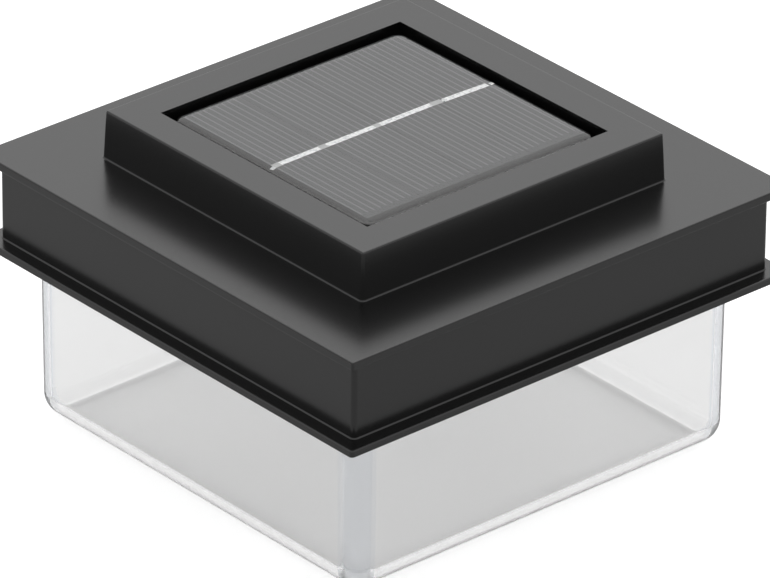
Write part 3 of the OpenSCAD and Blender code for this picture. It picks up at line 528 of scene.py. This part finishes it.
# Reflector. A shallow bowl moulded in ABS, held by two pegs that are melted over above the base
# plate. It is vacuum metallised, which gives a mirror with a faint orange peel, but for the flat
# brow round its eye and the pegs, which stay bare.
bowl_r = 12.5
bowl_eye = 3.2
bowl_drop = 4.2
bowl_t = 0.8
bowl_curve = 1.4
bowl_steps = 8
brow_w = 2
bowl_skin = 0.01
peg_y = 6.5
peg_r = 1.0
peg_root = 1
peel_w = 1.25
low, high = box_mm("reflector")
bowl_top = low.z + bowl_drop
peg_top = high.z
metallised, tree, mm = start_material("vacuum_metallised_abs")
orange_peel = add_node(tree, "ShaderNodeTexNoise", {"Vector": mm, "Scale": 1 / peel_w, "Detail": 2})
at = add_node(tree, "ShaderNodeSeparateXYZ", {"Vector": mm})
bare = add_node(tree, "ShaderNodeMath", {
    "Value": at.outputs["Z"], "Value_001": bowl_top - bowl_skin}, operation="GREATER_THAN")
bright = add_node(tree, "ShaderNodeMix", {
    "Factor_Float": orange_peel, "A_Color": linear("#d6d6d8"), "B_Color": linear("#e0e0e1")},
    data_type="RGBA")
tone = add_node(tree, "ShaderNodeMix", {
    "Factor_Float": bare, "A_Color": bright, "B_Color": linear("#d9d6cc")}, data_type="RGBA")
plated = add_node(tree, "ShaderNodeMath", {"Value": 1.0, "Value_001": bare}, operation="SUBTRACT")
gloss = add_node(tree, "ShaderNodeMapRange", {"Value": bare, "To Min": 0.08, "To Max": 0.45})
peel = add_node(tree, "ShaderNodeBump", {"Height": orange_peel, "Strength": 0.15, "Distance": 0.0002})
bowl_shader = add_node(tree, "ShaderNodeBsdfPrincipled", {
    "Base Color": tone, "Metallic": plated, "Roughness": gloss.outputs["Result"], "Normal": peel})
add_node(tree, "ShaderNodeOutputMaterial", {"Surface": bowl_shader})

bowl_foot = bowl_top - bowl_drop
bowl_run = bowl_r - bowl_t - bowl_eye
inner = []
for step in range(bowl_steps + 1):
    out = step / bowl_steps
    inner.append((bowl_eye + bowl_run * out, bowl_top - bowl_t - (bowl_drop - bowl_t) * out ** bowl_curve))
outer = [(bowl_r, bowl_foot), (bowl_r, bowl_foot + bowl_t)]
outer += [(bowl_eye + brow_w, bowl_top), (bowl_eye, bowl_top)]
shape = spin_profile(inner + outer + inner[:1], steps=64)
peg_low = bowl_top - peg_root
peg_mid = (peg_top + peg_low) / 2
for side in (-1, 1):
    add_cone(shape, peg_r, peg_r, peg_top - peg_low, (0, side * peg_y, peg_mid), segments=20)
bowl = add_piece("reflector_bowl", shape, metallised, "cap", ["reflector"])
soften(bowl, 0.12)

# Switch. A small slide switch hangs under the board: a can of nickel plated steel with a soft
# drawn sheen, and a ribbed knob of black acetal that reaches through a slot in the base plate.
# The battery's contact plates have the can's finish.
drawn_len = 5
drawn_w = 1 / 3
nickel, tree, mm = start_material("nickel_plated_steel")
drawn_out = add_node(tree, "ShaderNodeMapping", {
    "Vector": mm, "Scale": (1 / drawn_len, 1 / drawn_w, 1 / drawn_w)})
drawn = add_node(tree, "ShaderNodeTexNoise", {"Vector": drawn_out, "Scale": 1, "Detail": 3})
tone = add_node(tree, "ShaderNodeMix", {
    "Factor_Float": drawn, "A_Color": linear("#bdb9b0"), "B_Color": linear("#d2cfc8")}, data_type="RGBA")
rubbed = add_node(tree, "ShaderNodeMapRange", {"Value": drawn, "To Min": 0.2, "To Max": 0.36})
lines = add_node(tree, "ShaderNodeBump", {"Height": drawn, "Strength": 0.08, "Distance": 0.00003})
nickel_shader = add_node(tree, "ShaderNodeBsdfPrincipled", {
    "Base Color": tone, "Metallic": 1.0, "Roughness": rubbed.outputs["Result"], "Normal": lines})
add_node(tree, "ShaderNodeOutputMaterial", {"Surface": nickel_shader})
for name in ("switch_can", "spring_plate", "contact_plate"):
    dress(name, nickel)

rib_pitch = 0.5236
mottle_w = 1 / 5
acetal, tree, mm = start_material("ribbed_black_acetal")
at = add_node(tree, "ShaderNodeSeparateXYZ", {"Vector": mm})
rib_turn = add_node(tree, "ShaderNodeMath", {
    "Value": at.outputs["Y"], "Value_001": 2 * math.pi / rib_pitch}, operation="MULTIPLY")
ribs = add_node(tree, "ShaderNodeMath", {"Value": rib_turn}, operation="SINE")
mottle = add_node(tree, "ShaderNodeTexNoise", {"Vector": mm, "Scale": 1 / mottle_w, "Detail": 2})
tone = add_node(tree, "ShaderNodeMix", {
    "Factor_Float": mottle, "A_Color": linear("#1b1b1c"), "B_Color": linear("#232324")}, data_type="RGBA")
grip = add_node(tree, "ShaderNodeBump", {"Height": ribs, "Strength": 0.6, "Distance": 0.0001})
knob_shader = add_node(tree, "ShaderNodeBsdfPrincipled", {
    "Base Color": tone, "Roughness": 0.42, "Normal": grip})
add_node(tree, "ShaderNodeOutputMaterial", {"Surface": knob_shader})
dress("switch_knob", acetal)

# Battery. A rechargeable AA cell: a steel can, with its button, in a plain green shrink sleeve,
# glossy and a little wavy, with a silver band near the button. A tapered spring presses it
# against the far contact.
silver_band = 8
stretch_w = 2
band_low = box_mm("battery_can")[1].x - silver_band
dress("battery_can", nickel)
film, tree, mm = start_material("green_shrink_film")
at = add_node(tree, "ShaderNodeSeparateXYZ", {"Vector": mm})
band = add_node(tree, "ShaderNodeMath", {
    "Value": at.outputs["X"], "Value_001": band_low}, operation="GREATER_THAN")
stretch = add_node(tree, "ShaderNodeTexNoise", {"Vector": mm, "Scale": 1 / stretch_w, "Detail": 4})
green = add_node(tree, "ShaderNodeMix", {
    "Factor_Float": stretch, "A_Color": linear("#1c6b3c"), "B_Color": linear("#23784a")}, data_type="RGBA")
tone = add_node(tree, "ShaderNodeMix", {
    "Factor_Float": band, "A_Color": green, "B_Color": linear("#b9bcbd")}, data_type="RGBA")
tight = add_node(tree, "ShaderNodeBump", {"Height": stretch, "Strength": 0.15, "Distance": 0.0001})
film_shader = add_node(tree, "ShaderNodeBsdfPrincipled", {
    "Base Color": tone, "Roughness": 0.22, "Normal": tight})
add_node(tree, "ShaderNodeOutputMaterial", {"Surface": film_shader})
dress("battery_sleeve", film)

spring_wire = 0.8
spring_turns = 4
wide_r = 5.2
narrow_r = 2.7
steps_a_turn = 24
steps = steps_a_turn * spring_turns
low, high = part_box("battery_spring")
mid_y = (low[1] + high[1]) / 2
mid_z = (low[2] + high[2]) / 2
wire_r = spring_wire / 2000
wire = bpy.data.curves.new("battery_spring_wire", "CURVE")
wire.dimensions = "3D"
wire.bevel_depth = wire_r
wire.bevel_resolution = 3
wire.use_fill_caps = True
path = wire.splines.new("POLY")
path.points.add(steps)
for i, point in enumerate(path.points):
    part = i / steps
    radius = (wide_r + (narrow_r - wide_r) * part) / 1000
    angle = 2 * math.pi * spring_turns * part
    along = low[0] + wire_r + (high[0] - low[0] - 2 * wire_r) * part
    point.co = (along, mid_y + radius * math.cos(angle), mid_z + radius * math.sin(angle), 1)
wire.materials.append(nickel)
spring = bpy.data.objects.new("battery_spring_wire", wire)
bpy.context.scene.collection.objects.link(spring)
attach(spring, "cap")
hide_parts("battery_spring")

# Battery door. A flat black ABS cover with two tongues that line it up, held by two screws. Its
# seal is a die-cut ring of closed-cell foam, matt and pitted with pores, which are painted darker
# in the pits as painted shade.
dress("battery_door", satin_abs)
bubble_w = 10 / 35
foam, tree, mm = start_material("closed_cell_foam")
pores_and_shade = add_node(tree, "ShaderNodeTexVoronoi", {"Vector": mm, "Scale": 1 / bubble_w})
# Painted shade: the foam is darker towards the middle of each pore, where the pits are deepest.
tone = add_node(tree, "ShaderNodeMix", {
    "Factor_Float": pores_and_shade.outputs["Distance"], "A_Color": linear("#1a1a1a"), "B_Color": linear("#2c2c2c")},
    data_type="RGBA")
pores = add_node(tree, "ShaderNodeBump", {
    "Height": pores_and_shade.outputs["Distance"], "Strength": 0.7, "Distance": 0.0001})
foam_shader = add_node(tree, "ShaderNodeBsdfPrincipled", {
    "Base Color": tone, "Roughness": 0.85, "Normal": pores})
add_node(tree, "ShaderNodeOutputMaterial", {"Surface": foam_shader})
dress("door_seal", foam)

# Cover seal. A square ring of soft black rubber, laid into the rebate at the foot of the cover
# and pressed by the base plate. The rubber is dull, with a faint bloom.
bloom_w = 10 / 6
rubber, tree, mm = start_material("soft_black_rubber")
bloom = add_node(tree, "ShaderNodeTexNoise", {"Vector": mm, "Scale": 1 / bloom_w, "Detail": 4})
tone = add_node(tree, "ShaderNodeMix", {
    "Factor_Float": bloom, "A_Color": linear("#191919"), "B_Color": linear("#222221")}, data_type="RGBA")
nap = add_node(tree, "ShaderNodeBump", {"Height": bloom, "Strength": 0.2, "Distance": 0.00005})
rubber_shader = add_node(tree, "ShaderNodeBsdfPrincipled", {
    "Base Color": tone, "Roughness": 0.6, "Normal": nap})
add_node(tree, "ShaderNodeOutputMaterial", {"Surface": rubber_shader})
dress("cover_seal", rubber)

# Top cover. One moulding in the same black ABS: the walls, the deck that overhangs them, the
# raised platform and the sunk tub for the panel.
dress("top_cover", satin_abs)

# Adhesive sheet. A white double-sided sheet on the floor of the tub, die-cut with a hole for the
# wires, which holds the panel. It is matt and a little yellowed.
tack_w = 1 / 2
pad_foam, tree, mm = start_material("white_adhesive_sheet")
tack = add_node(tree, "ShaderNodeTexNoise", {"Vector": mm, "Scale": 1 / tack_w, "Detail": 3})
tone = add_node(tree, "ShaderNodeMix", {
    "Factor_Float": tack, "A_Color": linear("#dcdacb"), "B_Color": linear("#e6e5da")}, data_type="RGBA")
pad_shader = add_node(tree, "ShaderNodeBsdfPrincipled", {"Base Color": tone, "Roughness": 0.8})
add_node(tree, "ShaderNodeOutputMaterial", {"Surface": pad_shader})
dress("panel_adhesive", pad_foam)

# Panel board. Dark glass-fibre board that carries the cells. The resin is cast straight on to it,
# so it has almost no gloss of its own.
weave_w = 1 / 3
backing, tree, mm = start_material("dark_glass_fibre_board")
weave = add_node(tree, "ShaderNodeTexNoise", {"Vector": mm, "Scale": 1 / weave_w, "Detail": 2})
tone = add_node(tree, "ShaderNodeMix", {
    "Factor_Float": weave, "A_Color": linear("#141312"), "B_Color": linear("#1b1917")}, data_type="RGBA")
board_shader = add_node(tree, "ShaderNodeBsdfPrincipled", {
    "Base Color": tone, "Roughness": 0.6, "Specular IOR Level": 0.05})
add_node(tree, "ShaderNodeOutputMaterial", {"Surface": board_shader})
dress("panel_board", backing)

# Solar cells. Four silicon cells lie in a row on the board, grey and faintly clouded by their
# crystals. They were cut from wider wafers, so each has its silver fingers elsewhere. The
# fingers are screen printed and stop short of the ends.
row_mid_y = 1.0
row_len = 57.6
cell_count = 4
cell_gap = 0.2
row_low = row_mid_y - row_len / 2
cell_pitch = (row_len + cell_gap) / cell_count
first_fingers = (0.2, 1.25, 1.15, 0.45)
offset_full = 2
finger_pitch = 1.57
finger_core = 0.06
finger_edge = 0.26
finger_low = -29.2
finger_high = 25.4
crystal_w = 100 / 12
finger_mid = (finger_low + finger_high) / 2
finger_half = (finger_high - finger_low) / 2

silicon, tree, mm = start_material("grey_silicon_with_silver_fingers")
at = add_node(tree, "ShaderNodeSeparateXYZ", {"Vector": mm})
in_row = add_node(tree, "ShaderNodeMath", {
    "Value": at.outputs["Y"], "Value_001": row_low}, operation="SUBTRACT")
in_cell = add_node(tree, "ShaderNodeMath", {
    "Value": in_row, "Value_001": cell_pitch}, operation="FLOORED_MODULO")
along_row = add_node(tree, "ShaderNodeMath", {
    "Value": in_row, "Value_001": cell_pitch * cell_count}, operation="DIVIDE")
first = add_node(tree, "ShaderNodeValToRGB", {"Fac": along_row})
first.color_ramp.interpolation = "CONSTANT"
while len(first.color_ramp.elements) < cell_count:
    first.color_ramp.elements.new(0.5)
for stop, (number, offset) in zip(first.color_ramp.elements, enumerate(first_fingers)):
    share = offset / offset_full
    stop.position = number / cell_count
    stop.color = (share, share, share, 1)
offset = add_node(tree, "ShaderNodeMath", {
    "Value": first.outputs["Color"], "Value_001": offset_full}, operation="MULTIPLY")
shifted = add_node(tree, "ShaderNodeMath", {"Value": in_cell, "Value_001": offset}, operation="SUBTRACT")
shifted = add_node(tree, "ShaderNodeMath", {
    "Value": shifted, "Value_001": finger_pitch / 2}, operation="ADD")
in_gap = add_node(tree, "ShaderNodeMath", {
    "Value": shifted, "Value_001": finger_pitch}, operation="FLOORED_MODULO")
off_line = add_node(tree, "ShaderNodeMath", {
    "Value": in_gap, "Value_001": finger_pitch / 2}, operation="SUBTRACT")
off_line = add_node(tree, "ShaderNodeMath", {"Value": off_line}, operation="ABSOLUTE")
on_line = add_node(tree, "ShaderNodeMapRange", {
    "Value": off_line, "From Min": finger_core, "From Max": finger_edge, "To Min": 1.0, "To Max": 0.0},
    interpolation_type="SMOOTHSTEP")
across = add_node(tree, "ShaderNodeMath", {
    "Value": at.outputs["X"], "Value_001": finger_mid}, operation="SUBTRACT")
across = add_node(tree, "ShaderNodeMath", {"Value": across}, operation="ABSOLUTE")
inside = add_node(tree, "ShaderNodeMath", {
    "Value": across, "Value_001": finger_half}, operation="LESS_THAN")
finger = add_node(tree, "ShaderNodeMath", {
    "Value": on_line.outputs["Result"], "Value_001": inside}, operation="MULTIPLY")
crystal = add_node(tree, "ShaderNodeTexNoise", {"Vector": mm, "Scale": 1 / crystal_w, "Detail": 4})
wafer = add_node(tree, "ShaderNodeMix", {
    "Factor_Float": crystal, "A_Color": linear("#3f4042"), "B_Color": linear("#464749")}, data_type="RGBA")
printed = add_node(tree, "ShaderNodeMix", {
    "Factor_Float": finger, "A_Color": wafer, "B_Color": linear("#77787b")}, data_type="RGBA")
relief = add_node(tree, "ShaderNodeBump", {"Height": finger, "Strength": 0.3, "Distance": 0.00002})
cell_shader = add_node(tree, "ShaderNodeBsdfPrincipled", {
    "Base Color": printed, "Roughness": 0.5, "Normal": relief})
add_node(tree, "ShaderNodeOutputMaterial", {"Surface": cell_shader})
dress("solar_cells", silicon)


# Ribbons. Tinned copper strips soldered by hand down the middle of the cells: each meets the next
# in a wider, duller patch of solder, and short tabs go down at both ends of the row. Their tin
# ran unevenly, so they are speckled.
def add_strip(shape, start, end, width, thickness):
    """Adds a flat strip on the cells between two points (x off the row's middle line, y)."""
    run = math.dist(start, end)
    angle = math.atan2(end[1] - start[1], end[0] - start[0])
    middle = (ribbon_x + (start[0] + end[0]) / 2, (start[1] + end[1]) / 2, ribbon_z + thickness / 2)
    made = bmesh.ops.create_cube(shape, size=1)["verts"]
    bmesh.ops.scale(shape, vec=(run, width, thickness), verts=made)
    bmesh.ops.rotate(shape, cent=(0, 0, 0), matrix=Matrix.Rotation(angle, 3, "Z"), verts=made)
    bmesh.ops.translate(shape, vec=middle, verts=made)


ribbon_t = 0.12
ribbon_w = 1.45
link_w = 0.8
low_tab_w = 0.9
high_tab_w = 1.05
solder_w = 1.6
solder_t = ribbon_t + 0.06
end_solder_t = ribbon_t + 0.05
speckle_w = 10 / 15
lump_w = 10 / 18
low, high = box_mm("busbar_ribbons")
ribbon_x = (low.x + high.x) / 2
ribbon_z = low.z
joint_1, joint_2, joint_3 = (row_low + cell_pitch * i - cell_gap / 2 for i in (1, 2, 3))

tinned, tree, mm = start_material("tinned_copper_ribbon")
solder = add_node(tree, "ShaderNodeTexNoise", {"Vector": mm, "Scale": 1 / speckle_w, "Detail": 3})
uneven = add_node(tree, "ShaderNodeMapRange", {"Value": solder, "From Min": 0.38, "From Max": 0.55})
tone = add_node(tree, "ShaderNodeMix", {
    "Factor_Float": uneven.outputs["Result"], "A_Color": linear("#d4d5d7"), "B_Color": linear("#ffffff")},
    data_type="RGBA")
dull = add_node(tree, "ShaderNodeMapRange", {"Value": solder, "To Min": 0.35, "To Max": 0.55})
ripple = add_node(tree, "ShaderNodeBump", {"Height": solder, "Strength": 0.2, "Distance": 0.0001})
tin_shader = add_node(tree, "ShaderNodeBsdfPrincipled", {
    "Base Color": tone, "Metallic": 1.0, "Roughness": dull.outputs["Result"], "Normal": ripple})
add_node(tree, "ShaderNodeOutputMaterial", {"Surface": tin_shader})
shape = bmesh.new()
for start, end, width in (
        ((0.1, -27.0), (0, joint_1 - 0.4), ribbon_w),
        ((0, joint_1 - 0.6), (0, joint_2 - 0.7), ribbon_w),
        ((0, joint_2 - 0.9), (0, joint_3 + 0.4), ribbon_w),
        ((0.1, joint_3 + 1.0), (0.15, joint_3 + 1.9), link_w),
        ((0.15, joint_3 + 1.6), (0.6, 28.45), ribbon_w),
        ((0.3, -27.3), (0.9, -28.9), low_tab_w),
        ((0.7, 29.0), (0.7, 29.9), high_tab_w)):
    add_strip(shape, start, end, width, ribbon_t)
strips = add_piece("busbar_strips", shape, tinned, "cap", ["busbar_ribbons"], smooth=False)
soften(strips, 0.03)

frost, tree, mm = start_material("frosted_solder")
lumps = add_node(tree, "ShaderNodeTexNoise", {"Vector": mm, "Scale": 1 / lump_w, "Detail": 4})
tone = add_node(tree, "ShaderNodeMix", {
    "Factor_Float": lumps, "A_Color": linear("#b4b5b6"), "B_Color": linear("#d6d6d6")}, data_type="RGBA")
lumpy = add_node(tree, "ShaderNodeBump", {"Height": lumps, "Strength": 0.3, "Distance": 0.0001})
frost_shader = add_node(tree, "ShaderNodeBsdfPrincipled", {
    "Base Color": tone, "Metallic": 1.0, "Roughness": 0.55, "Normal": lumpy})
add_node(tree, "ShaderNodeOutputMaterial", {"Surface": frost_shader})
shape = bmesh.new()
for start, end, thickness in (
        ((0.2, -27.9), (0.1, -26.0), end_solder_t),
        ((0, joint_1 - 2.2), (0, joint_1 - 0.3), solder_t),
        ((0, joint_2 - 2.2), (0, joint_2 - 0.6), solder_t),
        ((0, joint_3 - 1.6), (0.1, joint_3 + 1.2), solder_t)):
    add_strip(shape, start, end, solder_w, thickness)
patches = add_piece("busbar_solder", shape, frost, "cap", ["busbar_ribbons"], smooth=False)
soften(patches, 0.05)

# Resin. Clear epoxy is poured over the cells and levels itself, so its face is flat and rounds
# over at the rim, where it clings to the edge of the board. It sets as glossy as glass, with a
# long, faint ripple.
panel_corner = 2.5
roll_over = 2.4
roll_drop = 0.38
resin_sink = 0.05
ripple_w = 12.5
low, high = box_mm("panel_resin")
panel_side = high.x - low.x
panel_face = high.z
panel_low = low.z - resin_sink
cast_resin, tree, mm = start_material("clear_cast_resin")
ripple = add_node(tree, "ShaderNodeTexNoise", {"Vector": mm, "Scale": 1 / ripple_w, "Detail": 1})
resin_tint = add_node(tree, "ShaderNodeMix", {
    "Factor_Float": ripple, "A_Color": linear("#fbfbfa"), "B_Color": linear("#ffffff")}, data_type="RGBA")
resin_wave = add_node(tree, "ShaderNodeBump", {"Height": ripple, "Strength": 0.1, "Distance": 0.0003})
resin_shader = add_node(tree, "ShaderNodeBsdfPrincipled", {
    "Base Color": resin_tint, "Roughness": 0.03, "Transmission Weight": 1.0, "IOR": 1.52,
    "Normal": resin_wave})
add_node(tree, "ShaderNodeOutputMaterial", {"Surface": resin_shader})

flatten = roll_drop / roll_over
slab_h = (panel_face - panel_low) / flatten
shape = bmesh.new()
bmesh.ops.create_cube(shape, size=1)
bmesh.ops.scale(shape, vec=(panel_side, panel_side, slab_h), verts=shape.verts)
upright = [e for e in shape.edges if abs(e.verts[0].co.z - e.verts[1].co.z) > slab_h / 2]
round_edges(shape, upright, panel_corner, segments=10)
top_edges = [e for e in shape.edges if min(v.co.z for v in e.verts) > 0]
round_edges(shape, top_edges, roll_over, segments=12)
bmesh.ops.scale(shape, vec=(1, 1, flatten), verts=shape.verts)
bmesh.ops.translate(shape, vec=(0, 0, (panel_face + panel_low) / 2), verts=shape.verts)
resin = add_piece("resin_slab", shape, cast_resin, "cap", ["panel_resin"])
even_shading(resin)

# Wires. Thin stranded hook-up wire in soft PVC runs from the panel and from the battery's
# contacts to the board, red for the positive side and black for the negative. The PVC has an
# uneven, waxy sheen.
sheen_w = 10 / 7
for colour, shade, light, nodes in (
        ("red", "#9c1414", "#ad1f1c", ("panel_wire_red", "battery_wire_red")),
        ("black", "#141414", "#1e1e1e", ("panel_wire_black", "battery_wire_black"))):
    pvc, tree, mm = start_material(f"{colour}_pvc_insulation")
    handled = add_node(tree, "ShaderNodeTexNoise", {"Vector": mm, "Scale": 1 / sheen_w, "Detail": 3})
    tone = add_node(tree, "ShaderNodeMix", {
        "Factor_Float": handled, "A_Color": linear(shade), "B_Color": linear(light)}, data_type="RGBA")
    grease = add_node(tree, "ShaderNodeMapRange", {"Value": handled, "To Min": 0.3, "To Max": 0.45})
    dimples = add_node(tree, "ShaderNodeBump", {"Height": handled, "Strength": 0.15, "Distance": 0.0001})
    pvc_shader = add_node(tree, "ShaderNodeBsdfPrincipled", {
        "Base Color": tone, "Roughness": grease.outputs["Result"], "Normal": dimples})
    add_node(tree, "ShaderNodeOutputMaterial", {"Surface": pvc_shader})
    for name in nodes:
        dress(name, pvc)
